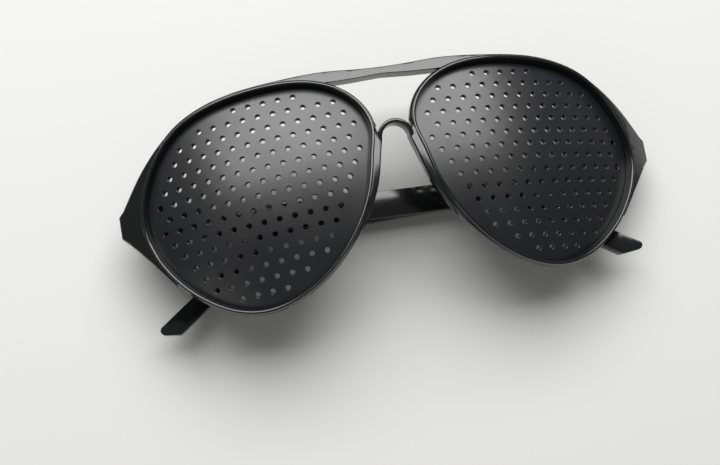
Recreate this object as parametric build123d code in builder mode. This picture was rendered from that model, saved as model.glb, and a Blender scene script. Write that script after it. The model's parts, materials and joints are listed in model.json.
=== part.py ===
"""Pinhole glasses: a moulded pilot front with two pinhole plates and two folding temples.

Everything is first drawn in the front's own axes: +X to the viewer's right, +Y to the brow, +Z out of
the front, with the zero point midway between the plates. The last section folds the temples and lays the
glasses down on them, front up. Left and right are the wearer's, so the right-hand side is at -X.
"""
from build123d import *
import math
import os

os.makedirs("parts", exist_ok=True)

# Openings and the ball-shaped curve of each side of the front
opening_width = 57.5
opening_height = 54.2
opening_drop = 0.4
bridge_gap = 12.6
plate_radius = 85.0
wrap_angle = 10.3

# Rims
rim_width = 1.6
rim_depth = 4.4
bead_width = 0.8
bead_height = 0.45
bead_round = 0.2
bevel_drop = 1.7
rim_edge_break = 0.3
rim_stations = 12

# Pinhole plates
plate_thickness = 1.3
plate_recess = 2.3
plate_bite = 0.4
groove_depth = 0.9
groove_clearance = 0.1
hole_pitch = 3.8
hole_diameter = 1.4
hole_sides = 8
hole_row_angle = -3.3
hole_margin = 2.6
hole_shift_in = 0.4
hole_shift_up = 0.2

# Brow, bar and nose arch
brow_rise = 1.9
bar_height = 2.0
bridge_flat = 16.0
arch_radius = 4.9
arch_thickness = 1.1
arch_spread = 0.6
arch_height = 12.7
web_inset = 1.0

# End pieces
front_width = 139.6
end_height = 8.0
end_drop = 0.8
end_depth = 15.8
end_block_length = 12.5
end_chamfer = 1.3
end_edge_break = 0.6
block_overlap = 0.4

# Nose pads, moulded on
pad_length = 15.0
pad_width = 8.0
pad_thickness = 1.5
pad_round = 3.0
pad_height = -3.5
pad_lean = 20.0
pad_splay = 24.0

# Hinges
barrel_diameter = 2.4
barrel_clearance = 0.3
knuckle_height = 1.5
knuckle_gap = 0.1
screw_diameter = 1.2
screw_clearance = 0.05
screw_head_diameter = 2.1
screw_head_height = 0.6
screw_slot_width = 0.35
screw_slot_depth = 0.3
leaf_thickness = 0.8
leaf_length = 6.0
leaf_round = 0.8
leaf_fit = 0.05

# Temples
temple_reach = 128.0
butt_thickness = 4.5
butt_height = 8.0
butt_length = 9.0
butt_gap = 0.3
taper_length = 14.0
blade_thickness = 3.2
blade_height = 7.0
blade_drop_angle = 1.4
blade_sink = 2.0
ear_height = 4.6
bend_reach = 95.0
ear_drop_angle = 38.0
bend_radius = 20.0
tuck_start = 92.0
tuck_radius = 72.0
tip_slant = 0.6
tip_round = 1.2
taper_round = 12.0
temple_edge_break = 0.3

# Folded pose: the right temple turns past square and the left one stops short, just clear behind it
right_fold_past = 1.5
fold_gap = 0.5
fold_step = 0.05

# Overrun of every cut past the surface that it leaves through
overrun = 30.0

# Opening outline, as shares of its half width and half height, from the nose side over the brow
opening_shares = [
    (-1.0, 0.34), (-0.935, 0.74), (-0.66, 0.945), (-0.20, 1.0), (0.26, 0.93), (0.62, 0.76), (0.89, 0.40),
    (1.0, -0.06), (0.90, -0.42), (0.62, -0.78), (0.17, -1.0), (-0.30, -0.87), (-0.67, -0.52), (-0.90, -0.08),
]
# Outer line of the brow from the middle to the end piece, as shares of half the front's width and of the
# opening's half height plus the brow's rise
brow_shares = [(0.0, 0.985), (0.21, 1.0), (0.38, 0.975), (0.54, 0.935), (0.70, 0.82), (0.84, 0.565), (0.935, 0.28)]
# Where the lower line of the end piece runs back into the rim, as shares of the same two sizes
cheek_shares = [(0.95, -0.25), (0.905, -0.385), (0.835, -0.61)]
# A line inside the opening that closes the brow's outline, as shares of the opening's half sizes
closing_shares = [(0.55, -0.35), (-0.10, 0.50), (-0.58, 0.955)]
lens_centre_share = 0.478
row_share = math.sqrt(3) / 2

half_width = opening_width / 2
half_height = opening_height / 2
opening_x = bridge_gap / 2 + half_width
opening_y = -opening_drop
plate_centre_x = bridge_gap / 2 + opening_width * lens_centre_share
front_radius = plate_radius + plate_recess
ball_x = plate_centre_x - plate_radius * math.sin(math.radians(wrap_angle))
ball_z = -plate_radius * math.cos(math.radians(wrap_angle))
ball_centre = Vector(ball_x, 0, ball_z)


def surface_height(x, y, radius):
    """Height of the ball of that radius above a point of the front, at the +X side."""
    return ball_z + math.sqrt(radius**2 - (x - ball_x) ** 2 - y**2)


def opening_edge():
    """The opening's outline, as one closed curve in the front's plane."""
    with BuildLine() as line:
        Spline(
            *[(opening_x + half_width * a, opening_y + half_height * b) for a, b in opening_shares],
            periodic=True,
        )
    return line.edges()[0]


def rim_plane(edge, share):
    """Plane across the rim: x outwards from the opening, y along the ball's normal, zero on the front."""
    point = edge @ share
    along = edge % share
    foot = Vector(point.X, point.Y, surface_height(point.X, point.Y, front_radius))
    normal = (foot - ball_centre).normalized()
    outward = along.cross(normal).normalized()
    if outward.dot(Vector(point.X - opening_x, point.Y - opening_y, 0)) < 0:
        outward = -outward
    return Plane(origin=foot, x_dir=outward, z_dir=outward.cross(normal))


outline = opening_edge()
rim_shares = [k / (2 * rim_stations) for k in range(2 * rim_stations)]
rim_planes = [rim_plane(outline, share) for share in rim_shares]


def outline_points(out, down):
    """Points round the opening, moved out from it and down from the front surface."""
    return [plane.from_local_coords(Vector(out, -down, 0)) for plane in rim_planes]


def ball(radius):
    """Solid ball of the +X side."""
    with BuildPart() as made:
        with Locations(Plane(origin=ball_centre, x_dir=(0, 0, -1), z_dir=(0, 1, 0))):
            Sphere(radius)
    return made.part


def front_curve(radius):
    """Solid under the whole front: two ball ends, and a flat waist between them at the bridge."""
    flat = bridge_flat / 2
    waist = math.sqrt(radius**2 - (ball_x - flat) ** 2)
    with BuildPart() as made:
        with BuildSketch(Plane.XZ):
            with BuildLine():
                Polyline((flat, ball_z + waist), (0, ball_z + waist), (0, ball_z), (ball_x + radius, ball_z))
                CenterArc((ball_x, ball_z), radius, 0, 180 - math.degrees(math.acos((ball_x - flat) / radius)))
            make_face()
        revolve(axis=Axis((0, 0, ball_z), (1, 0, 0)))
        mirror(about=Plane.YZ)
    return made.part


def opening_plug(out):
    """Cone from the ball's centre through the opening's outline, grown by that much."""
    points = outline_points(out, 0)
    with BuildPart() as made:
        for height in (ball_z / 2, overrun):
            scale = (height - ball_z)
            level = [ball_centre + (p - ball_centre) * (scale / (p.Z - ball_z)) for p in points]
            with BuildSketch(Plane.XY.offset(height)):
                with BuildLine():
                    Spline(*[(p.X, p.Y) for p in level], periodic=True)
                make_face()
        loft(ruled=True)
    return made.part


def rim():
    """One rim: bead, bevel and plate groove in one section, carried round the opening in two halves."""
    back = rim_depth
    groove_top = plate_recess - groove_clearance
    groove_floor = plate_recess + plate_thickness + groove_clearance
    section = [
        (0, -bead_round), (bead_round, 0), (bead_width - bead_round, 0), (bead_width, -bead_height),
        (rim_width - rim_edge_break, -bead_height - rim_edge_break), (rim_width, -bead_height - bevel_drop),
        (rim_width, -back + rim_edge_break), (rim_width - rim_edge_break, -back), (rim_edge_break, -back),
        (0, -back + rim_edge_break), (0, -groove_floor), (groove_depth, -groove_floor),
        (groove_depth, -groove_top), (0, -groove_top),
    ]
    with BuildPart() as made:
        for first in (0, rim_stations):
            for k in range(first, first + rim_stations + 1):
                with BuildSketch(rim_planes[k % (2 * rim_stations)]):
                    with BuildLine():
                        Polyline(*section, close=True)
                    make_face()
            loft()
    return made.part


def mirrored(solid):
    """The same solid at the other side of the front."""
    return mirror(solid, about=Plane.YZ)


# Hinge axis, on the left side; the right one is its mirror image
barrel_radius = barrel_diameter / 2
barrel_standoff = barrel_radius + barrel_clearance
butt_outer = barrel_standoff + butt_thickness
hinge_x = front_width / 2 - butt_outer
hinge_y = -end_drop
hinge_z = -end_depth - barrel_standoff
hinge_point = Vector(hinge_x, hinge_y, hinge_z)
barrel_height = 3 * knuckle_height + 2 * knuckle_gap

half_front = front_width / 2
arch_outer_radius = arch_radius + arch_thickness + arch_spread
brow_height = half_height + brow_rise
end_top = hinge_y + end_height / 2
end_foot = hinge_y - end_height / 2


def brow_outline():
    """Half of the front's face without the rims: bar, brow, end piece and cheek, up to the middle."""
    top = [(half_front * a, brow_height * b) for a, b in brow_shares]
    cheek = [(half_front * a, brow_height * b) for a, b in cheek_shares]
    closing = [(opening_x + half_width * a, opening_y + half_height * b) for a, b in closing_shares]
    bar_foot = brow_height * brow_shares[0][1] - bar_height
    with BuildSketch() as face:
        with BuildLine():
            Spline(*top, tangents=[(1, 0), (half_front - end_chamfer - top[-1][0], end_top - top[-1][1])])
            Polyline(
                top[-1],
                (half_front - end_chamfer, end_top),
                (half_front, end_top - end_chamfer),
                (half_front, end_foot + end_chamfer),
                (half_front - end_chamfer, end_foot),
                *cheek,
                *closing,
                (0, bar_foot),
                top[0],
            )
        make_face()
    return face.sketch


def hinge_block():
    """The left block behind the cheek that carries the hinge, up to the back of the rim."""
    with BuildPart() as made:
        with BuildSketch(Plane.XY.offset(-end_depth)):
            with BuildLine():
                Polyline(
                    (half_front - end_block_length, end_top),
                    (half_front - end_chamfer, end_top),
                    (half_front, end_top - end_chamfer),
                    (half_front, end_foot + end_chamfer),
                    (half_front - end_chamfer, end_foot),
                    (half_front - end_block_length, end_foot),
                    close=True,
                )
            make_face()
        extrude(amount=overrun)
        add(ball(front_radius - rim_depth + block_overlap), mode=Mode.INTERSECT)
        chamfer(made.edges().group_by(Axis.Z)[0].sort_by(Axis.X)[0], end_edge_break * 2)
    return made.part


def nose_pad():
    """Left nose pad: a rounded plate that leans out from the rim's nose side towards the back."""
    splay = math.radians(pad_splay)
    lean = math.radians(pad_lean)
    run = Vector(math.sin(splay), -math.cos(splay), 0)
    side = Vector(math.cos(splay), math.sin(splay), 0)
    depth = side * math.sin(lean) - Vector(0, 0, math.cos(lean))
    nearest = min(outline_points(rim_width, rim_depth / 2), key=lambda p: abs(p.Y - pad_height) + abs(p.X))
    with BuildPart() as made:
        with BuildSketch(Plane(origin=nearest, x_dir=run, z_dir=run.cross(depth))):
            with Locations((0, pad_width / 2 - rim_depth / 4)):
                RectangleRounded(pad_length, pad_width, pad_round)
        extrude(amount=pad_thickness, dir=tuple(side))
    return made.part


def leaf_pocket(plane):
    """Recess that a hinge leaf lies in, on a plane whose zero point is on the barrel's axis line."""
    with BuildPart() as made:
        with BuildSketch(plane):
            with Locations((leaf_length / 2, 0)):
                Rectangle(leaf_length + 2 * leaf_fit, barrel_height + 2 * leaf_fit)
        extrude(amount=leaf_thickness + leaf_fit)
    return made.part


# Planes of the two leaves: x away from the barrel, z into the piece that holds the leaf
front_leaf_plane = Plane(origin=hinge_point + Vector(0, 0, barrel_standoff), x_dir=(-1, 0, 0), z_dir=(0, 0, 1))
temple_leaf_plane = Plane(origin=hinge_point - Vector(0, 0, barrel_standoff), x_dir=(-1, 0, 0), z_dir=(0, 0, -1))


def front():
    """The moulded front: brow, bar, nose arch, rims, nose pads and end pieces in one piece."""
    with BuildPart() as made:
        add(brow_outline())
        extrude(amount=overrun, both=True)
        with BuildSketch():
            with Locations((0, arch_height + arch_thickness - arch_outer_radius)):
                Circle(arch_outer_radius)
            with Locations((0, arch_height - arch_radius)):
                Circle(arch_radius, mode=Mode.SUBTRACT)
            with Locations((0, arch_height - arch_radius - overrun / 2), (-overrun / 2, 0)):
                Rectangle(overrun, overrun, mode=Mode.SUBTRACT)
        extrude(amount=overrun, both=True)
        add(front_curve(front_radius - bead_height), mode=Mode.INTERSECT)
        add(front_curve(front_radius - rim_depth), mode=Mode.SUBTRACT)
        with BuildSketch(Plane.XY.offset(-end_depth - overrun)):
            Rectangle(front_width + overrun, opening_height + overrun)
        extrude(amount=overrun, mode=Mode.SUBTRACT)
        add(nose_pad())
        add(opening_plug(web_inset), mode=Mode.SUBTRACT)
        add(hinge_block())
        add(rim(), clean=False)
        add(leaf_pocket(front_leaf_plane), mode=Mode.SUBTRACT, clean=False)
        mirror(about=Plane.YZ)
    return made.part


def plate_outline():
    """Solid through the plate's outline, which stands inside the rim's groove."""
    points = outline_points(plate_bite, plate_recess + plate_thickness / 2)
    with BuildPart() as made:
        with BuildSketch():
            with BuildLine():
                Spline(*[(p.X, p.Y) for p in points], periodic=True)
            make_face()
        extrude(amount=overrun, both=True)
    return made.part


def hole_field():
    """The hexagonal grid's places that lie inside the opening, each as a plane square to the plate."""
    with BuildSketch() as field:
        with BuildLine():
            Spline(
                *[
                    (
                        opening_x - hole_shift_in + (half_width - hole_margin) * a,
                        opening_y + hole_shift_up + (half_height - hole_margin) * b,
                    )
                    for a, b in opening_shares
                ],
                periodic=True,
            )
        make_face()
    inside = field.sketch.faces()[0]
    plate_plane = Plane(origin=(plate_centre_x, 0, 0), z_dir=Vector(plate_centre_x, 0, 0) - ball_centre)
    plate_plane = plate_plane.rotated((0, 0, hole_row_angle))
    columns = math.ceil(half_width / hole_pitch) + 1
    rows = math.ceil(half_height / (hole_pitch * row_share)) + 1
    places = []
    for row in range(-rows, rows + 1):
        for column in range(-columns, columns + 1):
            a = (column + (1 - row % 2) / 2) * hole_pitch
            b = row * hole_pitch * row_share
            sag = math.sqrt(plate_radius**2 - a**2 - b**2) - plate_radius
            point = plate_plane.from_local_coords(Vector(a, b, sag))
            if inside.is_inside(Vector(point.X, point.Y, 0)):
                normal = (point - ball_centre).normalized()
                places.append(Plane(origin=point + normal * plate_thickness, z_dir=-normal))
    return places


def pinhole_plate():
    """Left plate: a shell between two balls with a hole square to it at every place of the grid."""
    with BuildPart() as made:
        add(plate_outline())
        add(ball(plate_radius), mode=Mode.INTERSECT)
        add(ball(plate_radius - plate_thickness), mode=Mode.SUBTRACT)
        with BuildSketch(*hole_field()):
            RegularPolygon(hole_diameter / 2, hole_sides)
        extrude(amount=3 * plate_thickness, mode=Mode.SUBTRACT, clean=False)
    return made.part


def crossing(first, first_angle, second, second_angle):
    """Where two lines cross, each given by a point and its angle in degrees."""
    a = Vector(math.cos(math.radians(first_angle)), math.sin(math.radians(first_angle)))
    b = Vector(math.cos(math.radians(second_angle)), math.sin(math.radians(second_angle)))
    gap = second - first
    return first + a * ((gap.X * b.Y - gap.Y * b.X) / (a.X * b.Y - a.Y * b.X))


# Side view of a temple, along from the hinge axis and up to the brow
butt_start = -(barrel_standoff - butt_gap)
blade_start = butt_length + taper_length
drop = -blade_drop_angle
ear_drop = -ear_drop_angle
blade_slope = math.tan(math.radians(blade_drop_angle))
bend_point = Vector(bend_reach, -blade_sink - (bend_reach - blade_start) * blade_slope)


def beside(point, angle, distance):
    """Point moved square to a line of that angle, upwards for a positive distance."""
    square = math.radians(angle + 90)
    return point + Vector(math.cos(square), math.sin(square)) * distance


def temple_side():
    """Outline of the temple seen from its side: butt, tapering blade and the drop behind the ear."""
    start = Vector(blade_start, -blade_sink)
    top_start = beside(start, drop, blade_height / 2)
    foot_start = beside(start, drop, -blade_height / 2)
    ear_top = beside(bend_point, ear_drop, ear_height / 2)
    ear_foot = beside(bend_point, ear_drop, -ear_height / 2)
    top_bend = crossing(top_start, drop, ear_top, ear_drop)
    foot_bend = crossing(foot_start, drop, ear_foot, ear_drop)
    top_end = crossing(ear_top, ear_drop, Vector(temple_reach, 0), 90)
    foot_end = crossing(ear_foot, ear_drop, top_end - Vector(0, tip_slant), 0)
    half = butt_height / 2
    corners = [
        (butt_start, half), (butt_length, half), top_start, top_bend, top_end,
        foot_end, foot_bend, foot_start, (butt_length, -half), (butt_start, -half),
    ]
    with BuildSketch(Plane(origin=hinge_point, x_dir=(-1, 0, 0), z_dir=(0, 0, -1))) as side:
        with BuildLine():
            Polyline(*[Vector(*tuple(c)[:2]) for c in corners], close=True)
        make_face()
        tapers = side.vertices().filter_by_position(Axis.X, butt_length / 2, blade_start + butt_length / 2)
        bends = side.vertices().filter_by_position(Axis.X, bend_reach - bend_radius, bend_reach + ear_height)
        fillet(tapers, taper_round)
        fillet(bends, bend_radius)
        fillet(side.vertices().sort_by(Axis.X)[-2:], tip_round)
    return side.sketch


def temple_top():
    """Outline of the temple seen from above, folded: flat outer face, then the tuck towards the ear."""
    reach = temple_reach + tip_round
    turn = math.degrees(math.asin((reach - tuck_start) / tuck_radius))
    inner_radius = tuck_radius - blade_thickness
    with BuildSketch(Plane(origin=hinge_point, x_dir=(-1, 0, 0), z_dir=(0, -1, 0))) as top:
        with BuildLine():
            outer_centre = (tuck_start, butt_outer - tuck_radius)
            outer = CenterArc(outer_centre, tuck_radius, 90 - turn, turn)
            inner = CenterArc(outer_centre, inner_radius, 90 - turn, turn)
            Line(outer @ 0, inner @ 0)
            Polyline(
                inner @ 1, (blade_start, butt_outer - blade_thickness), (butt_length, barrel_standoff),
                (butt_start, barrel_standoff), (butt_start, butt_outer), outer @ 1,
            )
        make_face()
    return top.sketch


def temple():
    """Left temple, folded square to the front, with its recess for the leaf."""
    with BuildPart() as made:
        add(temple_side())
        extrude(amount=overrun, both=True)
        add(temple_top())
        extrude(amount=overrun, dir=(0, 1, 0), both=True, mode=Mode.INTERSECT)
        chamfer(made.faces().sort_by(Axis.Z)[0].edges(), temple_edge_break)
        add(leaf_pocket(temple_leaf_plane), mode=Mode.SUBTRACT)
    return made.part


def leaf(plane, middles):
    """Hinge leaf in its recess, with a knuckle round each of those places along the barrel."""
    across = Plane(origin=hinge_point, x_dir=plane.x_dir, z_dir=plane.x_dir.cross(plane.z_dir))
    web_height = barrel_standoff + leaf_thickness
    with BuildPart() as made:
        with BuildSketch(plane) as plate:
            with Locations((leaf_length / 2, 0)):
                Rectangle(leaf_length, barrel_height)
            fillet(plate.vertices().sort_by(Axis.X)[-2:], leaf_round)
        extrude(amount=leaf_thickness)
        for middle in middles:
            with BuildSketch(across.offset(middle)):
                Circle(barrel_radius)
                with Locations((barrel_radius / 2, web_height / 2)):
                    Rectangle(barrel_radius, web_height)
            extrude(amount=knuckle_height / 2, both=True)
        with BuildSketch(across):
            Circle(screw_diameter / 2 + screw_clearance)
        extrude(amount=barrel_height, both=True, mode=Mode.SUBTRACT)
    return made.part


def screw():
    """Hinge screw: a shank as long as the barrel and a slotted head on its upper end."""
    with BuildPart() as made:
        with BuildSketch(Plane(origin=hinge_point + Vector(0, barrel_height / 2, 0), z_dir=(0, 1, 0))) as seat:
            Circle(screw_head_diameter / 2)
        extrude(amount=screw_head_height)
        chamfer(made.faces().sort_by(Axis.Y)[-1].edges(), screw_slot_depth / 2)
        with BuildSketch(Plane(origin=hinge_point + Vector(0, barrel_height / 2, 0), z_dir=(0, -1, 0))):
            Circle(screw_diameter / 2)
        extrude(amount=barrel_height)
        top = hinge_point + Vector(0, barrel_height / 2 + screw_head_height, 0)
        with BuildSketch(Plane(origin=top, z_dir=(0, -1, 0))):
            Rectangle(screw_slot_width, overrun)
        extrude(amount=screw_slot_depth, mode=Mode.SUBTRACT)
    return made.part


def folded(solid, angle):
    """A solid of the left temple, turned about its hinge; positive angles bring the ear end forward."""
    return solid.rotate(Axis(hinge_point, (0, 1, 0)), angle)


def clear_angle(solid, other):
    """How far short of square a left temple stops, so that it just clears the other temple."""
    least, most = 0, 45
    while most - least > fold_step:
        tried = (least + most) / 2
        if folded(solid, -tried).distance_to(other) < fold_gap:
            least = tried
        else:
            most = tried
    return most


# Pieces in the front's own axes
knuckle_pitch = knuckle_height + knuckle_gap
whole_front = front()
plate_left = pinhole_plate()
front_leaf = leaf(front_leaf_plane, (-knuckle_pitch, knuckle_pitch))
temple_leaf = leaf(temple_leaf_plane, (0,))
hinge_screw = screw()
plate_right = mirrored(plate_left)
front_leaf_right = mirrored(front_leaf)
hinge_screw_right = mirrored(hinge_screw)
bare_temple = temple()
temple_right = mirrored(folded(bare_temple, right_fold_past))
left_fold_short = clear_angle(bare_temple, temple_right)
temple_left = folded(bare_temple, -left_fold_short)
temple_leaf_left = folded(temple_leaf, -left_fold_short)
temple_leaf_right = mirrored(folded(temple_leaf, right_fold_past))

# The folded glasses lie on the flat outer face of the left temple, front up
table = Plane((0, 0, 0), x_dir=(1, 0, 0), z_dir=Vector(0, 0, 1).rotate(Axis.Y, -left_fold_short))
turned = table.to_local_coords(Compound([whole_front, temple_left, temple_right])).bounding_box()
middle_foot = Vector(turned.center().X, turned.center().Y, turned.min.Z)
lying = Location(-middle_foot) * table.location.inverse()

with BuildPart() as front_frame:
    with Locations(lying):
        add(whole_front)
front_frame.part.label = "front_frame"
export_step(front_frame.part, "parts/front_frame.step")

with BuildPart() as left_pinhole_plate:
    with Locations(lying):
        add(plate_left)
left_pinhole_plate.part.label = "left_pinhole_plate"
export_step(left_pinhole_plate.part, "parts/left_pinhole_plate.step")

with BuildPart() as right_pinhole_plate:
    with Locations(lying):
        add(plate_right)
right_pinhole_plate.part.label = "right_pinhole_plate"
export_step(right_pinhole_plate.part, "parts/right_pinhole_plate.step")

with BuildPart() as left_temple:
    with Locations(lying):
        add(temple_left)
left_temple.part.label = "left_temple"
export_step(left_temple.part, "parts/left_temple.step")

with BuildPart() as right_temple:
    with Locations(lying):
        add(temple_right)
right_temple.part.label = "right_temple"
export_step(right_temple.part, "parts/right_temple.step")

with BuildPart() as left_hinge_front_leaf:
    with Locations(lying):
        add(front_leaf)
left_hinge_front_leaf.part.label = "left_hinge_front_leaf"
export_step(left_hinge_front_leaf.part, "parts/left_hinge_front_leaf.step")

with BuildPart() as right_hinge_front_leaf:
    with Locations(lying):
        add(front_leaf_right)
right_hinge_front_leaf.part.label = "right_hinge_front_leaf"
export_step(right_hinge_front_leaf.part, "parts/right_hinge_front_leaf.step")

with BuildPart() as left_hinge_temple_leaf:
    with Locations(lying):
        add(temple_leaf_left)
left_hinge_temple_leaf.part.label = "left_hinge_temple_leaf"
export_step(left_hinge_temple_leaf.part, "parts/left_hinge_temple_leaf.step")

with BuildPart() as right_hinge_temple_leaf:
    with Locations(lying):
        add(temple_leaf_right)
right_hinge_temple_leaf.part.label = "right_hinge_temple_leaf"
export_step(right_hinge_temple_leaf.part, "parts/right_hinge_temple_leaf.step")

with BuildPart() as left_hinge_screw:
    with Locations(lying):
        add(hinge_screw)
left_hinge_screw.part.label = "left_hinge_screw"
export_step(left_hinge_screw.part, "parts/left_hinge_screw.step")

with BuildPart() as right_hinge_screw:
    with Locations(lying):
        add(hinge_screw_right)
right_hinge_screw.part.label = "right_hinge_screw"
export_step(right_hinge_screw.part, "parts/right_hinge_screw.step")
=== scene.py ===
"""Pinhole glasses, folded and lying front up: looks for the packed model.

The front's own axes are X to the viewer's right, Y to the brow and Z out of the front, with the
zero point midway between the plates. They are found from the two hinges, so the looks follow the
front however the glasses lie. Left and right are the wearer's. A side is 1 for the left one and -1
for the right one, which is built as the left one's mirror image.
"""

import json
import math

import bmesh
import bpy
from mathutils import Euler, Matrix, Vector


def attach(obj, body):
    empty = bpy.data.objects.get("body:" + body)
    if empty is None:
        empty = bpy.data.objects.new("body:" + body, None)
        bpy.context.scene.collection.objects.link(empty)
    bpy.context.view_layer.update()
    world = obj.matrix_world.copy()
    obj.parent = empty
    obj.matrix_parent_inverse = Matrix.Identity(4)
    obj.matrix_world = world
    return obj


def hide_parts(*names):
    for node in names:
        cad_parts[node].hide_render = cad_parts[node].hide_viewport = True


bl_info = {
    "name": "Pinhole glasses",
    "version": (1, 0, 0),
    "blender": (4, 5, 0),
    "location": "3D View > Sidebar > Glasses",
    "description": "Moulded front, pinhole plates, temples and hinges over the packed model",
    "category": "Object",
}

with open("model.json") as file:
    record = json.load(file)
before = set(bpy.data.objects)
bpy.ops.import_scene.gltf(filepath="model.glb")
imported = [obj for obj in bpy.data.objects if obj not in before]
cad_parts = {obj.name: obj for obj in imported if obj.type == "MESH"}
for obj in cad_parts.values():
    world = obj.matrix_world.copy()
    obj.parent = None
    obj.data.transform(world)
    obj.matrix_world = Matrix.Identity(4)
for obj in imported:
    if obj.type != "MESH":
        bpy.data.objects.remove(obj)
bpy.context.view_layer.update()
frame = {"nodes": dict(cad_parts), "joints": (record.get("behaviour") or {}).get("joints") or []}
HINGES = {joint["name"]: joint for joint in frame["joints"]}
PLATES = {1: "left_pinhole_plate", -1: "right_pinhole_plate"}
MM = 0.001
SAME_POINT = 0.001 * MM  # points of loose triangles or of a swept skin's seam that are one point


# ---- Shared helpers -------------------------------------------------------------------------


def linear(hex_colour):
    """Linear colour with alpha from an sRGB hex value."""
    shares = [int(hex_colour[k:k + 2], 16) / 255 for k in (1, 3, 5)]
    return (*(c / 12.92 if c <= 0.04045 else ((c + 0.055) / 1.055) ** 2.4 for c in shares), 1.0)


def add_node(tree, kind, settings=None, links=None):
    """Adds a node: settings go to its sockets or properties, links join other outputs to it."""
    made = tree.nodes.new(kind)
    for key, value in (settings or {}).items():
        if isinstance(key, int) or key in made.inputs:
            made.inputs[key].default_value = value
        else:
            setattr(made, key, value)
    for key, output in (links or {}).items():
        tree.links.new(output, made.inputs[key])
    return made


def new_material(name):
    """Empty node material with its output and the piece's own coordinates."""
    material = bpy.data.materials.new(name)
    material.use_nodes = True
    tree = material.node_tree
    tree.nodes.clear()
    output = add_node(tree, "ShaderNodeOutputMaterial")
    place = add_node(tree, "ShaderNodeTexCoord")
    return material, tree, output, place.outputs["Object"]


def front_axes():
    """Matrix from the front's own axes, in metres, to the row frame."""
    sizes = bpy.context.scene.glasses_front
    left = Vector(HINGES["left_temple_hinge"]["pos_m"])
    right = Vector(HINGES["right_temple_hinge"]["pos_m"])
    brow = -Vector(HINGES["left_temple_hinge"]["axis"]).normalized()
    across = (left - right).normalized()
    out = across.cross(brow).normalized()
    zero = (left + right) / 2 + brow * sizes.hinge_drop + out * sizes.hinge_depth
    turn = Matrix((across, brow, out)).transposed()
    return Matrix.Translation(zero) @ turn.to_4x4()


def at_side(side):
    """Mirror image for the right-hand side, or nothing for the left-hand one."""
    return Matrix.Scale(side, 4, (1, 0, 0))


def merged_copy(node):
    """Copy of a packed node's mesh with its loose triangles joined."""
    copy = bmesh.new()
    copy.from_mesh(frame["nodes"][node].data)
    bmesh.ops.remove_doubles(copy, verts=copy.verts, dist=SAME_POINT)
    return copy


def shade(mesh, limit):
    """Smooth faces with a crisp line wherever they meet at more than that angle."""
    for face in mesh.faces:
        face.smooth = True
    for edge in mesh.edges:
        edge.smooth = len(edge.link_faces) == 2 and edge.calc_face_angle() < limit


def make_piece(name, mesh, body, nodes, material):
    """Object from a bmesh that rides on a body and stands for those packed nodes."""
    data = bpy.data.meshes.new(name)
    mesh.to_mesh(data)
    mesh.free()
    data.materials.append(material)
    piece = bpy.data.objects.new(name, data)
    bpy.context.scene.collection.objects.link(piece)
    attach(piece, body)
    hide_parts(*nodes)
    return piece


# ---- Materials ------------------------------------------------------------------------------

COLOUR_A, COLOUR_B, MIXED = 6, 7, 2  # a Mix node's colour sockets, which share names with others


def polished_abs(name, colour):
    """Black ABS from a polished mould: deep gloss, faint flow waves and fine handling hairlines."""
    material, tree, output, place = new_material(name)
    # Slow waves where the plastic shrank in the mould bend the reflections a little
    waves = add_node(
        tree, "ShaderNodeTexNoise", {"Scale": 1 / (9 * MM), "Detail": 2.0}, {"Vector": place},
    )
    # Hairlines from wiping, drawn 0.25 mm apart so that they show
    stretched = add_node(
        tree, "ShaderNodeMapping", {"Scale": (1.0, 0.12, 1.0), "Rotation": (0.0, 0.0, 0.6)},
        {"Vector": place},
    )
    hairs = add_node(
        tree, "ShaderNodeTexNoise", {"Scale": 1 / (0.25 * MM), "Detail": 3.0},
        {"Vector": stretched.outputs[0]},
    )
    gloss = add_node(
        tree, "ShaderNodeMapRange",
        {"From Min": 0.35, "From Max": 0.75, "To Min": 0.12, "To Max": 0.18},
        {"Value": hairs.outputs["Fac"]},
    )
    bent = add_node(
        tree, "ShaderNodeBump", {"Strength": 0.12, "Distance": 0.25 * MM},
        {"Height": waves.outputs["Fac"]},
    )
    tint = add_node(
        tree, "ShaderNodeMix",
        {"data_type": "RGBA", COLOUR_A: linear(colour), COLOUR_B: linear("#17181a")},
        {"Factor": waves.outputs["Fac"]},
    )
    shader = add_node(
        tree, "ShaderNodeBsdfPrincipled", {"IOR": 1.54, "Specular IOR Level": 0.8},
        {
            "Base Color": tint.outputs[MIXED], "Roughness": gloss.outputs[0],
            "Normal": bent.outputs[0],
        },
    )
    tree.links.new(shader.outputs[0], output.inputs["Surface"])
    return material


def satin_polycarbonate(name, colour):
    """Dark polycarbonate from a fine-eroded mould: satin, with a broad soft sheen and a grain."""
    material, tree, output, place = new_material(name)
    # Spark-eroded grain of about 0.08 mm, drawn at 0.2 mm so that it shows
    grain = add_node(
        tree, "ShaderNodeTexNoise", {"Scale": 1 / (0.2 * MM), "Detail": 4.0, "Roughness": 0.6},
        {"Vector": place},
    )
    # Slow clouds where the mould is worn a little smoother
    cloud = add_node(
        tree, "ShaderNodeTexNoise", {"Scale": 1 / (14 * MM), "Detail": 2.0}, {"Vector": place},
    )
    sheen = add_node(
        tree, "ShaderNodeMapRange",
        {"From Min": 0.3, "From Max": 0.7, "To Min": 0.30, "To Max": 0.37},
        {"Value": cloud.outputs["Fac"]},
    )
    pitted = add_node(
        tree, "ShaderNodeBump", {"Strength": 0.25, "Distance": 0.02 * MM},
        {"Height": grain.outputs["Fac"]},
    )
    tint = add_node(
        tree, "ShaderNodeMix",
        {"data_type": "RGBA", COLOUR_A: linear(colour), COLOUR_B: linear("#18191c")},
        {"Factor": grain.outputs["Fac"]},
    )
    shader = add_node(
        tree, "ShaderNodeBsdfPrincipled", {"IOR": 1.585, "Specular IOR Level": 0.7},
        {
            "Base Color": tint.outputs[MIXED], "Roughness": sheen.outputs[0],
            "Normal": pitted.outputs[0],
        },
    )
    tree.links.new(shader.outputs[0], output.inputs["Surface"])
    return material


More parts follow.
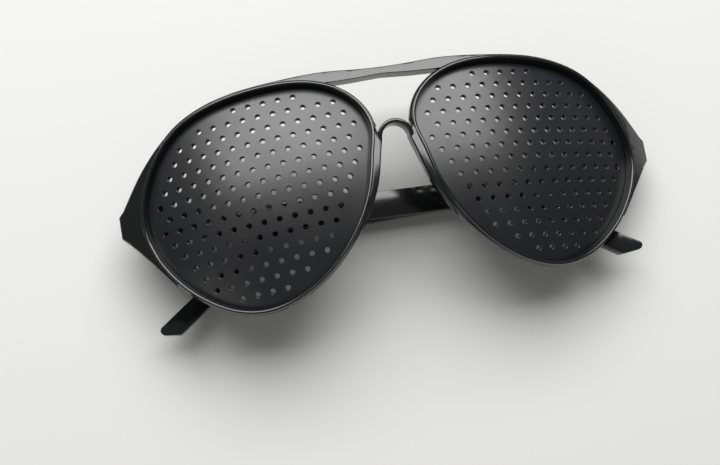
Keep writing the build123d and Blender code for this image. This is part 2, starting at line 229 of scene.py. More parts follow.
def stamped_steel(name, colour, streak):
    """Nickel-plated steel, stamped or turned: cool grey, with streaks left by the tool."""
    material, tree, output, place = new_material(name)
    drawn = add_node(tree, "ShaderNodeMapping", {"Scale": streak}, {"Vector": place})
    # Tool streaks about 0.05 mm apart, drawn at 0.12 mm so that they show
    streaks = add_node(
        tree, "ShaderNodeTexNoise", {"Scale": 1 / (0.12 * MM), "Detail": 3.0},
        {"Vector": drawn.outputs[0]},
    )
    dull = add_node(
        tree, "ShaderNodeMapRange",
        {"From Min": 0.3, "From Max": 0.7, "To Min": 0.24, "To Max": 0.42},
        {"Value": streaks.outputs["Fac"]},
    )
    scored = add_node(
        tree, "ShaderNodeBump", {"Strength": 0.2, "Distance": 0.02 * MM},
        {"Height": streaks.outputs["Fac"]},
    )
    tint = add_node(
        tree, "ShaderNodeMix",
        {"data_type": "RGBA", COLOUR_A: linear(colour), COLOUR_B: linear("#8f9296")},
        {"Factor": streaks.outputs["Fac"]},
    )
    shader = add_node(
        tree, "ShaderNodeBsdfPrincipled", {"Metallic": 1.0},
        {
            "Base Color": tint.outputs[MIXED], "Roughness": dull.outputs[0],
            "Normal": scored.outputs[0],
        },
    )
    tree.links.new(shader.outputs[0], output.inputs["Surface"])
    return material


def painted_board(name, colour):
    """Matt white painted board under the glasses: pale and even, with a faint roller texture."""
    material, tree, output, place = new_material(name)
    # The roller's nap leaves bumps about 1.5 mm apart
    nap = add_node(
        tree, "ShaderNodeTexNoise", {"Scale": 1 / (1.5 * MM), "Detail": 3.0}, {"Vector": place},
    )
    raised = add_node(
        tree, "ShaderNodeBump", {"Strength": 0.04, "Distance": 0.05 * MM},
        {"Height": nap.outputs["Fac"]},
    )
    shader = add_node(
        tree, "ShaderNodeBsdfPrincipled",
        {"Base Color": linear(colour), "Roughness": 0.85, "IOR": 1.45},
        {"Normal": raised.outputs[0]},
    )
    tree.links.new(shader.outputs[0], output.inputs["Surface"])
    return material


# ---- Sizes and colours that a user may change -------------------------------------------------


def length(name, description, default):
    """A size property, given in millimetres and kept in metres."""
    return bpy.props.FloatProperty(
        name=name, description=description, default=default * MM, unit="LENGTH", precision=5,
    )


def angle(name, description, default):
    """An angle property, given in degrees and kept in radians."""
    return bpy.props.FloatProperty(
        name=name, description=description, default=math.radians(default), subtype="ANGLE",
    )


def direction(name, description, default):
    """A direction property, in the front's axes."""
    return bpy.props.FloatVectorProperty(
        name=name, description=description, default=default, subtype="DIRECTION",
    )


def power(name, description, default):
    """A lamp's power, in watts."""
    return bpy.props.FloatProperty(
        name=name, description=description, default=default, unit="POWER",
    )


def hex_text(name, description, default):
    """A colour property as an sRGB hex value."""
    return bpy.props.StringProperty(name=name, description=description, default=default)


class GlassesFront(bpy.types.PropertyGroup):
    """Front: its place between the hinges, its rims and its nose arch."""

    hinge_drop: length("Hinge drop", "Hinge's middle under the plates' middle", 0.8)
    hinge_depth: length("Hinge depth", "Hinge axis behind the front's zero plane", 17.3)
    crisp_angle: angle("Crisp angle", "Faces that meet at more than this keep a crisp edge", 35)
    recess: length("Recess", "Plate's front surface under the rim's", 2.3)
    bite: length("Bite", "Plate's edge inside the rim", 0.4)
    rim_width: length("Rim width", "Width of the rim round the opening", 1.66)
    nose_growth: length("Nose growth", "How much wider the rim gets beside the nose arch", 1.15)
    arch_inside: length("Arch inside", "Inner radius of the nose arch", 3.5)
    arch_width: length("Arch width", "Width of the nose arch", 1.15)
    arch_top: length("Arch top", "Height of the nose arch over the plates' middle", 13.8)
    arch_front: length("Arch front", "Front of the nose arch before the zero plane", 2.6)
    arch_depth: length("Arch depth", "Depth of the nose arch", 3.9)
    edge_round: length("Edge round", "Width of the rounding on the front's outer edges", 0.3)
    round_foot: length("Round foot", "Height from which up the outer edges are rounded", -6.0)


class GlassesTemples(bpy.types.PropertyGroup):
    """Temples: their rounded edges and their ear ends."""

    edge_round: length("Edge round", "Width of the rounding on the blade's edges", 0.35)
    butt_reach: length("Butt reach", "Length next to the hinge that stays as it is", 14.0)
    tip_length: length("Tip length", "Length of the ear end's tip", 7.0)
    ear_length: length("Ear length", "Length of the ear end that gives the tip its way", 24.0)
    left_tip_growth: length("Left tip growth", "How much further the left ear end reaches", 1.9)
    right_tip_growth: length("Right tip growth", "How much further the right one reaches", -1.1)
    flat_angle: angle("Flat angle", "Faces that meet at less than this are joined first", 0.5)
    sharp_angle: angle("Sharp angle", "Edges that meet at more than this are rounded", 30)


class GlassesPlates(bpy.types.PropertyGroup):
    """Pinhole plates: their ball shape and their holes."""

    ball_radius: length("Ball radius", "Radius of the plate's front surface", 85.0)
    ball_side: length("Ball side", "Ball centre beside the middle of the front", 18.587)
    ball_depth: length("Ball depth", "Ball centre behind the front's zero plane", 83.63)
    wrap: angle("Wrap", "Turn of each plate towards its temple", 10.3)
    thickness: length("Thickness", "Plate thickness", 1.3)
    pitch: length("Hole pitch", "Distance between neighbouring holes", 3.8)
    hole: length("Hole diameter", "Diameter of each hole", 1.4)
    hole_break: length("Hole break", "Width of the broken edge at each hole's front", 0.07)


class GlassesPaint(bpy.types.PropertyGroup):
    """Colours of the glasses and the stage."""

    front: hex_text("Front", "Polished ABS of the front", "#0b0c0d")
    temple: hex_text("Temples", "Polished ABS of the temples", "#0a0b0c")
    plate: hex_text("Plates", "Satin polycarbonate of the plates", "#101114")
    steel: hex_text("Steel", "Steel of the hinges", "#b9bcc0")
    floor: hex_text("Floor", "Painted board under the glasses", "#f1f1ef")
    sky: hex_text("Sky", "Even light all round", "#f6f6f5")


class GlassesStage(bpy.types.PropertyGroup):
    """Camera and lamps, placed in the front's own axes."""

    camera_place: bpy.props.FloatVectorProperty(
        name="Camera place", description="Camera in the front's axes", subtype="TRANSLATION",
        default=(-54.3 * MM, -47.8 * MM, 259.5 * MM),
    )
    camera_turn: bpy.props.FloatVectorProperty(
        name="Camera turn", description="Camera's turn in the front's axes", subtype="EULER",
        default=(math.radians(9.05), math.radians(-7.654), math.radians(-9.97)),
    )
    lens: bpy.props.FloatProperty(
        name="Lens", description="Focal length", default=54.475, subtype="DISTANCE_CAMERA",
    )
    sensor: bpy.props.FloatProperty(
        name="Sensor", description="Width of the sensor", default=36.0, subtype="DISTANCE_CAMERA",
    )
    near_clip: length("Near clip", "Nearest distance that the camera shows", 10.0)
    floor_side: length("Floor side", "Length of the square floor's sides", 6000.0)
    key_way: direction("Key way", "From the glasses to the key light", (-0.03, 0.62, 0.78))
    key_distance: length("Key distance", "From the glasses to the key light", 850.0)
    key_side: length("Key side", "Length of the key light's longer sides", 1000.0)
    key_height: length("Key height", "Length of the key light's shorter sides", 700.0)
    key_power: power("Key power", "Power of the key light", 10.2)
    fill_way: direction("Fill way", "From the glasses to the fill light", (-0.75, -0.55, 0.6))
    fill_distance: length("Fill distance", "From the glasses to the fill light", 1200.0)
    fill_side: length("Fill side", "Length of the square fill light's sides", 500.0)
    fill_power: power("Fill power", "Power of the fill light", 0.6)
    sky_level: bpy.props.FloatProperty(
        name="Sky level", description="Strength of the even light all round", default=0.14,
    )


# ---- Pinhole plates -------------------------------------------------------------------------

MOUTH_ANGLE = math.radians(45)  # the packed plate's outline and hole mouths are sharper than this
NEAR_BALL = 0.1 * MM  # how near to the ball a point of the plate's front surface is
NEIGHBOURS = 1.3  # neighbouring holes are nearer than this many pitches
CELL_SIDES = 6
HOLE_SIDES = 2 * CELL_SIDES  # a point for each corner of the cell and one between
SAME_CORNER = 0.05 * MM  # corners of neighbouring cells that are one point
WALL_ANGLE = math.radians(60)  # a hole's wall meets the plate's front at more than this
PLATE_CRISP = math.radians(40)


def plate_axes():
    """Matrix from the left plate's own plane, square to its middle, to the front's axes."""
    sizes = bpy.context.scene.glasses_plates
    turn = Matrix.Rotation(sizes.wrap, 4, "Y")
    ball = Vector((sizes.ball_side, 0, -sizes.ball_depth))
    return Matrix.Translation(ball + turn @ Vector((0, 0, sizes.ball_radius))) @ turn


def plate_to_row(side):
    """Matrix from a plate's own plane to the row frame."""
    return front_axes() @ at_side(side) @ plate_axes()


def ball_height(radius, x, y):
    """How high a ball's surface is over its centre."""
    return math.sqrt(radius**2 - x**2 - y**2)


def edge_loops(edges):
    """The edges' vertices as closed loops, in the order in which the mesh holds them."""
    near = {}
    for edge in edges:
        for vert in edge.verts:
            near.setdefault(vert, []).append(edge.other_vert(vert))
    loops = []
    unseen = dict.fromkeys(near)
    while unseen:
        vert = next(iter(unseen))
        loop = []
        while vert is not None:
            del unseen[vert]
            loop.append(vert)
            vert = next((other for other in near[vert] if other in unseen), None)
        loops.append(loop)
    return loops


def plate_layout(side):
    """The packed plate's outline and hole centres, flat in the plate's own plane."""
    radius = bpy.context.scene.glasses_plates.ball_radius
    ball = Vector((0, 0, -radius))
    copy = merged_copy(PLATES[side])
    bmesh.ops.transform(copy, matrix=plate_to_row(side).inverted(), verts=copy.verts)
    crisp = [
        edge for edge in copy.edges
        if len(edge.link_faces) == 2 and edge.calc_face_angle() > MOUTH_ANGLE
        and all((vert.co - ball).length > radius - NEAR_BALL for vert in edge.verts)
    ]
    *mouths, border = sorted(edge_loops(crisp), key=len)
    outline = [vert.co.xy for vert in border]
    centres = [sum((vert.co.xy for vert in mouth), Vector((0, 0))) / len(mouth) for mouth in mouths]
    copy.free()
    return outline, centres


def row_turn(centres, pitch):
    """Angle of the hole rows, from every pair of neighbouring holes."""
    cosine = sine = 0
    for k, centre in enumerate(centres):
        for other in centres[k + 1:]:
            step = other - centre
            if step.length < NEIGHBOURS * pitch:
                way = math.atan2(step.y, step.x)
                cosine += math.cos(CELL_SIDES * way)
                sine += math.sin(CELL_SIDES * way)
    return math.atan2(sine, cosine) / CELL_SIDES


def hole_cell(sizes):
    """One six-sided cell of the plate's front surface: its hole's points, then its border's."""
    flat = math.cos(math.pi / CELL_SIDES)  # how far out a flat side is, where a corner is 1
    corner = sizes.pitch / 2 / flat
    cell = bmesh.new()
    bmesh.ops.create_circle(cell, segments=HOLE_SIDES, radius=sizes.hole / 2)
    border = bmesh.ops.create_circle(cell, segments=HOLE_SIDES, radius=corner)["verts"]
    # Every second point of the border moves in to the middle of a flat side
    for vert in border[1::2]:
        vert.co *= flat
    bmesh.ops.bridge_loops(cell, edges=cell.edges)
    return cell


def lay_cells(plate, centres, sizes):
    """Lays a cell round each centre, its hole square to the ball, and gives the holes' points."""
    cell = hole_cell(sizes)
    pattern = bpy.data.meshes.new("hole_cell")
    cell.to_mesh(pattern)
    cell.free()
    about = Matrix.Rotation(row_turn(centres, sizes.pitch), 4, "Z")
    mouths = set()
    for centre in centres:
        first = len(plate.verts)
        plate.from_mesh(pattern)
        plate.verts.ensure_lookup_table()
        mouth = plate.verts[first:first + HOLE_SIDES]
        border = plate.verts[first + HOLE_SIDES:first + 2 * HOLE_SIDES]
        normal = Vector((*centre, ball_height(sizes.ball_radius, *centre)))
        tilt = Vector((0, 0, 1)).rotation_difference(normal).to_matrix().to_4x4()
        move = Matrix.Translation((*centre, 0))
        bmesh.ops.transform(plate, matrix=move @ tilt @ about, verts=mouth)
        bmesh.ops.transform(plate, matrix=move @ about, verts=border)
        mouths.update(mouth)
    bpy.data.meshes.remove(pattern)
    inner = [vert for vert in plate.verts if vert not in mouths]
    bmesh.ops.remove_doubles(plate, verts=inner, dist=SAME_CORNER)
    return mouths


def fill_margin(plate, mouths, outline):
    """Fills the plain margin between the outermost cells and the plate's outline."""
    inside = [
        edge for edge in plate.edges
        if len(edge.link_faces) == 1 and not any(vert in mouths for vert in edge.verts)
    ]
    rim = [plate.verts.new((*point, 0)) for point in outline]
    outside = [plate.edges.new((rim[k - 1], rim[k])) for k in range(len(rim))]
    bmesh.ops.triangle_fill(plate, use_beauty=True, edges=inside + outside, normal=(0, 0, 1))


def build_plate(side):
    """A pinhole plate: six-sided cells with round holes, a plain margin and a wall behind them."""
    sizes = bpy.context.scene.glasses_plates
    radius = sizes.ball_radius
    outline, centres = plate_layout(side)
    plate = bmesh.new()
    mouths = lay_cells(plate, centres, sizes)
    fill_margin(plate, mouths, outline)
    for vert in plate.verts:
        vert.co.z = ball_height(radius, vert.co.x, vert.co.y) - radius
    behind = bmesh.ops.extrude_face_region(plate, geom=plate.faces[:])["geom"]
    back = [item for item in behind if isinstance(item, bmesh.types.BMVert)]
    to_ball = Matrix.Translation((0, 0, radius))
    shrink = Matrix.Scale(1 - sizes.thickness / radius, 4)
    bmesh.ops.transform(plate, matrix=to_ball.inverted() @ shrink @ to_ball, verts=back)
    bmesh.ops.recalc_face_normals(plate, faces=plate.faces)
    hole_edges = [
        edge for edge in plate.edges
        if all(vert in mouths for vert in edge.verts) and edge.calc_face_angle(0) > WALL_ANGLE
    ]
    bmesh.ops.bevel(
        plate, geom=hole_edges, offset=sizes.hole_break, offset_type="OFFSET", segments=1,
        profile=0.5, affect="EDGES", material=-1, clamp_overlap=True,
    )
    bmesh.ops.transform(plate, matrix=plate_to_row(side), verts=plate.verts)
    bmesh.ops.recalc_face_normals(plate, faces=plate.faces)
    open_edges = [edge for edge in plate.edges if len(edge.link_faces) != 2]
    if open_edges:
        raise RuntimeError(f"{PLATES[side]}: {len(open_edges)} open edges")
    shade(plate, PLATE_CRISP)
    return plate


# ---- Rims and nose arch -----------------------------------------------------------------------

RIM_STATIONS = 144
EASINGS = 3  # times that each point of a line moves a little towards its neighbours
SWEPT_CRISP = math.radians(50)
# Millimetres over the plates' middle: the rim widens beside the nose from START over RISE, and
# narrows again over FALL up to END. Its front surface swells up to the arch the same way.
NOSE_START, NOSE_RISE, NOSE_FALL, NOSE_END = -24, 30, 2.4, 11.8
SWELL_START, SWELL_RISE, SWELL_FALL, SWELL_END = -16, 16, 4.2, 13.5
NOSE_LAG = 1.5  # over 1, the rim widens later than evenly
# Each leg follows the rim where it is nearer to the middle than SIDE and higher than FOOT
LEG_SIDE, LEG_FOOT = 7 * MM, 2 * MM
LEG_HEAD = 1.2 * MM  # the leg ends this far under the bow's centre
LEG_INSET = 0.03 * MM  # leg's wall inside the rim's outer wall
# Millimetres that the leg lies under the rim's surface, and sinks and leans further at its foot
LEG_UNDER, LEG_SINK, LEG_LEAN = 0.05, 0.8, 0.5
BOW_STEPS = 24
ARCH_CORNER = 0.3 * MM


def even_loop(points, count):
    """That many evenly spaced points on a closed line, with its small kinks eased."""
    lengths = [(points[k - 1] - points[k]).length for k in range(len(points))]
    step = sum(lengths) / count
    margin = 1e-9  # keeps rounding from adding a point on top of the first
    made = []
    along = 0.0
    for k, run in enumerate(lengths):
        while len(made) * step < along + run - margin:
            share = (len(made) * step - along) / run
            made.append(points[k - 1].lerp(points[k], share))
        along += run
    for _ in range(EASINGS):
        after = made[1:] + made[:1]
        made = [(made[k - 1] + 2 * made[k] + after[k]) / 4 for k in range(len(made))]
    return made


def swept(loops, closed):
    """Skin through rows of points: a grid laid over them, its seams joined and its ends filled."""
    rows, columns = len(loops), len(loops[0])
    skin = bmesh.new()
    steps = rows if closed else rows - 1
    bmesh.ops.create_grid(skin, x_segments=columns, y_segments=steps, size=1)
    for index, vert in enumerate(skin.verts):
        vert.co = loops[index // (columns + 1) % rows][index % (columns + 1) % columns]
    bmesh.ops.remove_doubles(skin, verts=skin.verts, dist=SAME_POINT)
    if not closed:
        ends = [edge for edge in skin.edges if len(edge.link_faces) == 1]
        bmesh.ops.holes_fill(skin, edges=ends)
    bmesh.ops.recalc_face_normals(skin, faces=skin.faces)
    return skin


def ease(value):
    """Smooth step from 0 to 1."""
    value = min(max(value, 0.0), 1.0)
    return value * value * (3 - 2 * value)


def rim_section(width, raised):
    """Across the rim, out from the opening and up from the front surface, in millimetres."""
    low = 1 - raised
    inner, foot = -0.05, -1.9  # the opening's wall, which ends just in front of the plate
    sunk, back = 0.95, -4.42  # the wall and the back that lie inside the packed moulding
    bead = [
        (inner, -0.42), (-0.02, -0.22), (0.08, -0.07), (0.22, 0.01), (0.40, 0.07), (0.56, 0.09),
        (0.68, 0.02), (0.78, -0.18),
    ]
    band = [
        (0.88, -0.38 + 0.3 * raised),
        (1.02, -0.48 + 0.42 * raised),
        (width - 0.42, -0.56 - 0.12 * low + 0.62 * raised),
        (width - 0.20, -0.70 - 0.30 * low + 0.60 * raised),
        (width - 0.05, -1.00 - 0.45 * low + 0.5 * raised),
        (width, -1.45 - 0.6 * low + 0.4 * raised),
    ]
    rear = [(width, back + 0.32), (width - 0.3, back), (sunk, back), (sunk, foot)]
    return [(inner, foot), *bead, *band, *rear]


def rim_places(side):
    """Round the opening, in the left side's axes: the rim's inner edge, its outward and upward
    directions, and how far it is widened beside the nose and swollen towards the arch, 0 to 1."""
    sizes, plates = bpy.context.scene.glasses_front, bpy.context.scene.glasses_plates
    radius = plates.ball_radius
    to_front = plate_axes()
    outline, _ = plate_layout(side)
    line = [to_front @ Vector((x, y, ball_height(radius, x, y) - radius)) for x, y in outline]
    ball = Vector((plates.ball_side, 0, -plates.ball_depth))
    under = sizes.recess + plates.thickness / 2
    middle = radius - plates.thickness / 2
    places = [
        Vector((p.x, p.y, ball.z + ball_height(middle, p.x - ball.x, p.y)))
        for p in even_loop(line, RIM_STATIONS)
    ]
    centre = sum(places, Vector()) / len(places)
    found = []
    for k, place in enumerate(places):
        up = (place - ball).normalized()
        along = (places[(k + 1) % len(places)] - places[k - 1]).normalized()
        out = along.cross(up).normalized()
        if out.dot(place - centre) < 0:
            out = -out
        edge = place + up * under - out * sizes.bite
        height = edge.y / MM
        nose = swell = 0.0
        if edge.x < centre.x:
            rise = ease((height - NOSE_START) / NOSE_RISE) ** NOSE_LAG
            nose = rise * ease((NOSE_END - height) / NOSE_FALL)
            swell = ease((height - SWELL_START) / SWELL_RISE)
            swell *= ease((SWELL_END - height) / SWELL_FALL)
        found.append((edge, out, up, nose, swell))
    return found


def build_rim(side):
    """One rim in the front's axes: a rounded bead, and a strip that swells beside the nose arch."""
    sizes = bpy.context.scene.glasses_front
    loops = []
    for edge, out, up, nose, swell in rim_places(side):
        section = rim_section((sizes.rim_width + sizes.nose_growth * nose) / MM, swell)
        loops.append([edge + (out * a + up * b) * MM for a, b in section])
    skin = swept(loops, True)
    bmesh.ops.transform(skin, matrix=at_side(side), verts=skin.verts)
    bmesh.ops.recalc_face_normals(skin, faces=skin.faces)
    return skin


def build_arch():
    """Nose arch in the front's axes: a rounded bow whose legs sink into the rims."""
    sizes = bpy.context.scene.glasses_front
    half, deep = sizes.arch_width / 2, sizes.arch_depth
    radius = sizes.arch_inside + half
    top = Vector((0, sizes.arch_top - half - radius, sizes.arch_front))
    leg = []
    for edge, out, up, nose, _ in rim_places(1):
        width = sizes.rim_width + sizes.nose_growth * nose
        inside = edge + out * (width - half - LEG_INSET)
        if 0 < inside.x < LEG_SIDE and LEG_FOOT < inside.y < top.y - LEG_HEAD:
            low = (top.y - inside.y) / top.y
            sunk = up * (LEG_UNDER + LEG_SINK * low) * MM + out * LEG_LEAN * low * MM
            leg.append(inside - sunk)
    leg.sort(key=lambda place: place.y)
    foot = leg[-1].z
    bow = []
    for k in range(BOW_STEPS + 1):
        turn = math.pi * k / BOW_STEPS
        place = top + radius * Vector((math.cos(turn), math.sin(turn), 0))
        place.z = foot + (sizes.arch_front - foot) * math.sin(turn)
        bow.append(place)
    path = leg + bow + [Vector((-p.x, p.y, p.z)) for p in reversed(leg)]
    corner = ARCH_CORNER
    inset = 0.3 * corner  # how far in the middle of a round corner lies
    wall = [
        (-half + corner, -deep), (-half, -deep + corner), (-half, -corner),
        (-half + inset, -inset), (-half + corner, 0),
    ]
    section = wall + [(-a, b) for a, b in reversed(wall)]
    loops = []
    for k, place in enumerate(path):
        along = (path[min(k + 1, len(path) - 1)] - path[max(k - 1, 0)]).normalized()
        out = along.cross(Vector((0, 0, 1))).normalized()
        loops.append([place + out * a + Vector((0, 0, b)) for a, b in section])
    return swept(loops, False)


# ---- Moulded front ----------------------------------------------------------------------------

BOW_SIDE, BOW_FOOT, BOW_TOP = 4.7, 7.0, 14.6  # millimetres round the packed front's own bow
OUTER_ANGLE = math.radians(40)  # outer edges that are sharper than this are rounded
FACING, UPRIGHT = 0.75, 0.5  # least rise of the face's normals, and most of the outer walls'
SLIVER = 0.002 * MM  # edges shorter than this are closed up after the rounding


def open_bow(mesh):
    """Takes the packed front's bow of the nose arch away and closes the moulding where it was."""
    bow = []
    for face in mesh.faces:
        middle = face.calc_center_median() / MM
        if abs(middle.x) < BOW_SIDE and BOW_FOOT < middle.y < BOW_TOP:
            bow.append(face)
    bmesh.ops.delete(mesh, geom=bow, context="FACES")
    open_edges = [edge for edge in mesh.edges if len(edge.link_faces) == 1]
    bmesh.ops.holes_fill(mesh, edges=open_edges)


def round_front(mesh):
    """Rounds the edges between the front's face and its outer walls, as a polished mould does."""
    sizes = bpy.context.scene.glasses_front
    mesh.normal_update()
    sharp = []
    for edge in mesh.edges:
        if len(edge.link_faces) == 2 and edge.calc_face_angle_signed(0) > OUTER_ANGLE:
            rises = sorted(face.normal.z for face in edge.link_faces)
            low = min(vert.co.y for vert in edge.verts) < sizes.round_foot
            if rises[1] > FACING and abs(rises[0]) < UPRIGHT and not low:
                sharp.append(edge)
    bmesh.ops.bevel(
        mesh, geom=sharp, offset=sizes.edge_round, offset_type="OFFSET", affect="EDGES",
        segments=3, profile=0.5, material=-1, clamp_overlap=False,
    )
    bmesh.ops.dissolve_degenerate(mesh, edges=mesh.edges, dist=SLIVER)
    bmesh.ops.remove_doubles(mesh, verts=mesh.verts, dist=SLIVER)


def join(mesh, other):
    """Adds a swept skin, shaded on its own, to the moulding."""
    shade(other, SWEPT_CRISP)
    data = bpy.data.meshes.new("joined")
    other.to_mesh(data)
    other.free()
    mesh.from_mesh(data)
    bpy.data.meshes.remove(data)


# ---- Temples ----------------------------------------------------------------------------------


def round_blade(mesh, side):
    """Rounds the long edges of a temple beyond its butt, and moves its tip in or out along it."""
    sizes = bpy.context.scene.glasses_temples
    pin = Vector(HINGES[f"{side}_temple_hinge"]["pos_m"])
    bmesh.ops.dissolve_limit(
        mesh, angle_limit=sizes.flat_angle, verts=mesh.verts, edges=mesh.edges,
    )
    sharp = []
    for edge in mesh.edges:
        far = min((vert.co - pin).length for vert in edge.verts) > sizes.butt_reach
        if far and len(edge.link_faces) == 2 and edge.calc_face_angle() > sizes.sharp_angle:
            sharp.append(edge)
    bmesh.ops.bevel(
        mesh, geom=sharp, offset=sizes.edge_round, offset_type="OFFSET", affect="EDGES",
        segments=3, profile=0.5, material=-1, clamp_overlap=True,
    )
    reach = max((vert.co - pin).length for vert in mesh.verts)
    tip, ear = [], []
    for vert in mesh.verts:
        short = reach - (vert.co - pin).length
        if short < sizes.tip_length:
            tip.append(vert)
        elif sizes.tip_length < short < sizes.ear_length:
            ear.append(vert)
    tip_middle = sum((vert.co for vert in tip), Vector()) / len(tip)
    ear_middle = sum((vert.co for vert in ear), Vector()) / len(ear)
    growth = sizes.left_tip_growth if side == "left" else sizes.right_tip_growth
    way = (tip_middle - ear_middle).normalized()
    bmesh.ops.translate(mesh, verts=tip, vec=way * growth)


# ---- Stage ------------------------------------------------------------------------------------


def lay_floor(length_across, material):
    """Square floor at the row frame's zero height."""
    board = bmesh.new()
    bmesh.ops.create_grid(board, x_segments=1, y_segments=1, size=length_across / 2)
    data = bpy.data.meshes.new("floor")
    board.to_mesh(data)
    board.free()
    data.materials.append(material)
    floor = bpy.data.objects.new("floor", data)
    bpy.context.scene.collection.objects.link(floor)


def add_lamp(name, way, distance, sides, watts, axes):
    """Soft light, its first sides along the front, that faces the front's zero point."""
    light = bpy.data.lights.new(name, "AREA")
    light.shape = "RECTANGLE"
    light.size, light.size_y = sides
    light.energy = watts
    lamp = bpy.data.objects.new(name, light)
    bpy.context.scene.collection.objects.link(lamp)
    towards = (axes.to_3x3() @ Vector(way)).normalized()
    turn = towards.to_track_quat("Z", "Y").to_matrix().to_4x4()
    lamp.matrix_world = Matrix.Translation(axes.translation + towards * distance) @ turn


# ---- Operators --------------------------------------------------------------------------------


class GLASSES_OT_front(bpy.types.Operator):
    """Finish the moulded front with rounded rims and nose arch, in polished black ABS"""

    bl_idname = "glasses.front"
    bl_label = "Moulded front"

    def execute(self, context):
        """Copies the packed front, rounds it, and sets rims and a nose arch over it."""
        axes = front_axes()
        mesh = merged_copy("front_frame")
        bmesh.ops.transform(mesh, matrix=axes.inverted(), verts=mesh.verts)
        open_bow(mesh)
        round_front(mesh)
        shade(mesh, context.scene.glasses_front.crisp_angle)
        for side in PLATES:
            join(mesh, build_rim(side))
        join(mesh, build_arch())
        bmesh.ops.transform(mesh, matrix=axes, verts=mesh.verts)
        material = polished_abs("polished_abs_front", context.scene.glasses_paint.front)
        piece = make_piece("moulded_front", mesh, "front", ["front_frame"], material)
        # Flat faces keep their own shading next to the narrow rounded edges
        even = piece.modifiers.new("even_shading", "WEIGHTED_NORMAL")
        even.keep_sharp = True
        return {"FINISHED"}


class GLASSES_OT_plates(bpy.types.Operator):
    """Model both pinhole plates with round holes"""

    bl_idname = "glasses.plates"
    bl_label = "Pinhole plates"

    def execute(self, context):
        """Builds each plate over the packed one."""
        paint = context.scene.glasses_paint
        material = satin_polycarbonate("satin_polycarbonate_plate", paint.plate)
        for side, name in ((1, "left_plate"), (-1, "right_plate")):
            mesh = build_plate(side)
            make_piece(name, mesh, "front", [PLATES[side]], material)
        return {"FINISHED"}


class GLASSES_OT_temples(bpy.types.Operator):
    """Finish both temples in polished black ABS"""

    bl_idname = "glasses.temples"
    bl_label = "Temples"

    def execute(self, context):
        """Replaces each packed temple by a joined copy with rounded edges."""
        material = polished_abs("polished_abs_temple", context.scene.glasses_paint.temple)
        for side in ("left", "right"):
            node, body = f"{side}_temple", f"{side}_temple_body"
            mesh = merged_copy(node)
            round_blade(mesh, side)
            shade(mesh, context.scene.glasses_front.crisp_angle)
            make_piece(f"{side}_arm", mesh, body, [node], material)
        return {"FINISHED"}


class GLASSES_OT_hinges(bpy.types.Operator):
    """Finish the hinge leaves and screws in steel"""

    bl_idname = "glasses.hinges"
    bl_label = "Hinges"

    def execute(self, context):
        """Replaces each packed leaf and screw by a joined, smooth copy."""
        paint = context.scene.glasses_paint
        leaf = stamped_steel("stamped_steel_leaf", paint.steel, (1.0, 0.15, 1.0))
        screw = stamped_steel("turned_steel_screw", paint.steel, (1.0, 1.0, 1.0))
        for side in ("left", "right"):
            for part, body, slot, material in (
                ("hinge_front_leaf", "front", "hinge_steel", leaf),
                ("hinge_temple_leaf", f"{side}_temple_body", "hinge_steel", leaf),
                ("hinge_screw", "front", "screw_steel", screw),
            ):
                node = f"{side}_{part}"
                mesh = merged_copy(node)
                shade(mesh, context.scene.glasses_front.crisp_angle)
                make_piece(f"{side}_steel_{part}", mesh, body, [node], material)
        return {"FINISHED"}


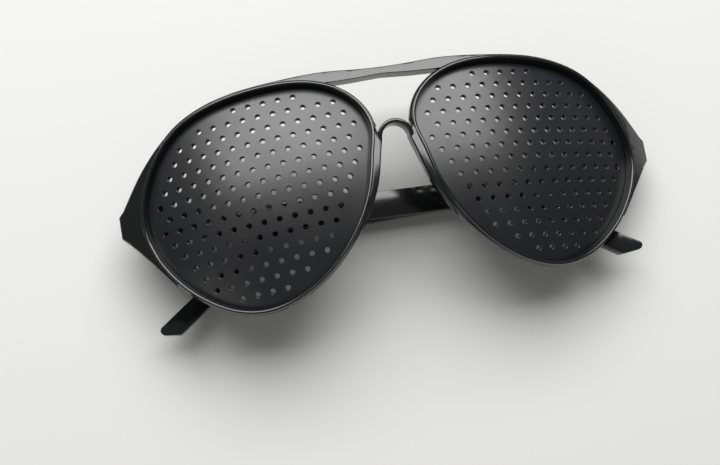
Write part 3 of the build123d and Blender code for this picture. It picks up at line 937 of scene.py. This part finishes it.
class GLASSES_OT_stage(bpy.types.Operator):
    """Set up the pale floor, the soft light and the camera"""

    bl_idname = "glasses.stage"
    bl_label = "Stage"

    def execute(self, context):
        """Makes the floor, the even light, two soft lamps and the camera."""
        scene = context.scene
        stage, paint = scene.glasses_stage, scene.glasses_paint
        axes = front_axes()
        lay_floor(stage.floor_side, painted_board("matt_painted_board", paint.floor))

        world = bpy.data.worlds.new("even_light")
        scene.world = world
        world.use_nodes = True
        tree = world.node_tree
        tree.nodes.clear()
        even = add_node(
            tree, "ShaderNodeBackground", {"Color": linear(paint.sky), "Strength": stage.sky_level},
        )
        add_node(tree, "ShaderNodeOutputWorld", None, {"Surface": even.outputs[0]})

        add_lamp(
            "key_light", stage.key_way, stage.key_distance, (stage.key_side, stage.key_height),
            stage.key_power, axes,
        )
        add_lamp(
            "fill_light", stage.fill_way, stage.fill_distance, (stage.fill_side, stage.fill_side),
            stage.fill_power, axes,
        )

        camera_data = bpy.data.cameras.new("camera")
        camera_data.sensor_width = stage.sensor
        camera_data.lens = stage.lens
        camera_data.clip_start = stage.near_clip
        camera = bpy.data.objects.new("camera", camera_data)
        scene.collection.objects.link(camera)
        turn = Euler(stage.camera_turn).to_matrix().to_4x4()
        camera.matrix_world = axes @ Matrix.Translation(stage.camera_place) @ turn
        scene.camera = camera
        scene.view_settings.view_transform = "Standard"
        return {"FINISHED"}


class GLASSES_PT_panel(bpy.types.Panel):
    """Lists the pieces of the glasses in the sidebar"""

    bl_idname = "GLASSES_PT_panel"
    bl_label = "Pinhole glasses"
    bl_space_type = "VIEW_3D"
    bl_region_type = "UI"
    bl_category = "Glasses"

    def draw(self, context):
        """Draws one button for each operator, and the sizes and colours under them."""
        for operator in OPERATORS:
            self.layout.operator(operator.bl_idname)
        for name, group in GROUPS.items():
            box = self.layout.box()
            box.label(text=group.__doc__)
            for key in group.__annotations__:
                box.prop(getattr(context.scene, name), key)


GROUPS = {
    "glasses_front": GlassesFront,
    "glasses_temples": GlassesTemples,
    "glasses_plates": GlassesPlates,
    "glasses_paint": GlassesPaint,
    "glasses_stage": GlassesStage,
}
OPERATORS = (
    GLASSES_OT_front, GLASSES_OT_plates, GLASSES_OT_temples, GLASSES_OT_hinges, GLASSES_OT_stage,
)


def register():
    """Registers the groups, the operators and the panel."""
    for name, group in GROUPS.items():
        bpy.utils.register_class(group)
        setattr(bpy.types.Scene, name, bpy.props.PointerProperty(type=group))
    for operator in OPERATORS:
        bpy.utils.register_class(operator)
    bpy.utils.register_class(GLASSES_PT_panel)


def unregister():
    """Takes everything that register added away again."""
    bpy.utils.unregister_class(GLASSES_PT_panel)
    for operator in reversed(OPERATORS):
        bpy.utils.unregister_class(operator)
    for name, group in GROUPS.items():
        delattr(bpy.types.Scene, name)
        bpy.utils.unregister_class(group)


def main():
    """Registers the add-on and makes every piece and the stage."""
    register()
    bpy.ops.glasses.front()
    bpy.ops.glasses.plates()
    bpy.ops.glasses.temples()
    bpy.ops.glasses.hinges()
    bpy.ops.glasses.stage()


if __name__ == "__main__":
    main()
